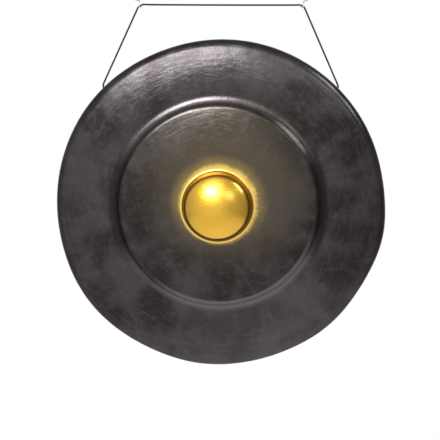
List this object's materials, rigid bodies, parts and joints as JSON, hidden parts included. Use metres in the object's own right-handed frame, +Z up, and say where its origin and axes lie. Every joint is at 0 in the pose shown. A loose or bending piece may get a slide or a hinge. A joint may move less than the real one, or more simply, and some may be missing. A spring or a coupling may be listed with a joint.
{
  "type": "nipple gong",
  "caption": "Round bronze gong with a deep turned-back rim, a raised inner plateau and a polished central boss, hung by a cord from S-hooks.",
  "frame": {"origin": "midway between the seats of the two hooks, on the line where the support carries the load", "axes": "+Z up, +X to the right seen from the front, the face looks towards -Y and a little down, as the gong hangs"},
  "size_m": [0.8, 0.2645, 0.9085],
  "materials": {
    "bronze": "dark satin patina over beaten bronze, the boss polished bright gold",
    "cord": "black braided cord, matt",
    "hook_steel": "bright plated steel wire"
  },
  "bodies": {
    "hooks": {"left_hook": "hook_steel", "right_hook": "hook_steel"},
    "cord": {"suspension_cord": "cord"},
    "hung_gong": {"gong": "bronze", "left_cord_end": "cord", "right_cord_end": "cord", "left_stopper_knot": "cord", "right_stopper_knot": "cord"}
  },
  "joints": [
    {"name": "cord_swing", "type": "hinge", "parent": "hooks", "child": "cord", "pos_m": [0, 0, -0.02997], "axis": [1, 0, 0], "range_deg": [-25, 25]},
    {"name": "gong_tilt", "type": "hinge", "parent": "cord", "child": "hung_gong", "pos_m": [0, 0, -0.23147], "axis": [1, 0, 0], "range_deg": [-20, 20]}
  ]
}
